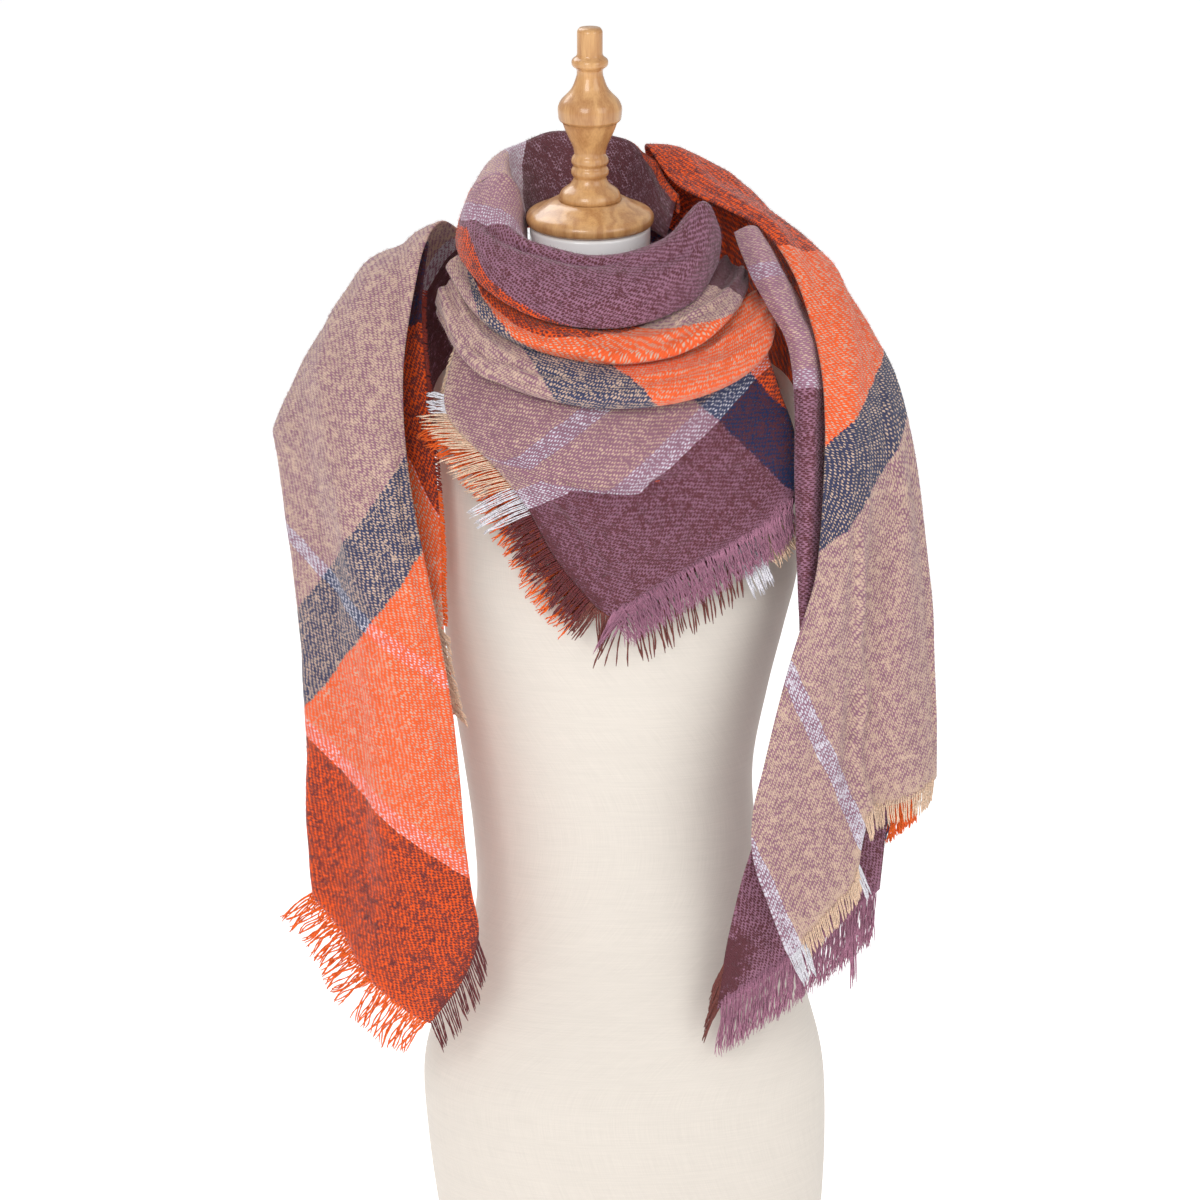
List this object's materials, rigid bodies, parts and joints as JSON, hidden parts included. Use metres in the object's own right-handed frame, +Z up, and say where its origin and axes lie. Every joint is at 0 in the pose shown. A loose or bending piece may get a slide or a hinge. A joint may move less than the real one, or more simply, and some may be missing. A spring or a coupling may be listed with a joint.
{
  "type": "blanket scarf on a dress form",
  "caption": "Plaid blanket scarf with fringed edges, folded to a triangle and wound round the neck of a limbless linen dress form with a turned wooden neck finial.",
  "frame": {"origin": "middle of the dress form's flat underside", "axes": "+Z up through the neck, the front with the scarf's point faces -Y, +X to the viewer's right as seen from the front"},
  "size_m": [0.5777, 0.3363, 1.0931],
  "materials": {
    "linen": "plain linen cover drawn smooth over the form",
    "white_band": "glossy white band under the neck cap",
    "cap_wood": "varnished turned wood",
    "finial_wood": "varnished turned wood",
    "mauve_plaid": "brushed boucle twill, mauve and maroon check",
    "lilac_plaid": "brushed boucle twill, lilac and beige check",
    "orange_plaid": "brushed boucle twill, orange and beige check",
    "rust_plaid": "brushed boucle twill, orange and maroon check",
    "cream_yarn": "loose beige yarn fringe",
    "maroon_yarn": "loose maroon yarn fringe",
    "orange_yarn": "loose orange yarn fringe",
    "mauve_yarn": "loose lilac-mauve yarn fringe"
  },
  "bodies": {
    "root": {"form_torso": "linen", "form_neck_band": "white_band", "form_cap": "cap_wood", "form_finial": "finial_wood", "neck_roll": "mauve_plaid", "neck_collar": "lilac_plaid", "second_fold": "orange_plaid", "third_fold": "rust_plaid", "back_drape": "lilac_plaid", "bib_front": "lilac_plaid", "bib_back": "rust_plaid", "left_tail": "lilac_plaid", "left_leaf": "rust_plaid", "right_tail": "orange_plaid", "right_roll": "mauve_plaid", "right_back_leaf": "mauve_plaid", "right_under_leaf": "orange_plaid", "fringe_bib_left": "cream_yarn", "fringe_bib_right": "mauve_yarn", "fringe_bib_left_back": "orange_yarn", "fringe_bib_right_back": "maroon_yarn", "fringe_left_tail": "orange_yarn", "fringe_left_corner": "maroon_yarn", "fringe_left_leaf": "cream_yarn", "fringe_right_hem": "cream_yarn", "fringe_right_hem_outer": "cream_yarn", "fringe_right_back": "mauve_yarn", "fringe_right_back_tip": "maroon_yarn", "fringe_right_under": "orange_yarn"}
  },
  "joints": []
}
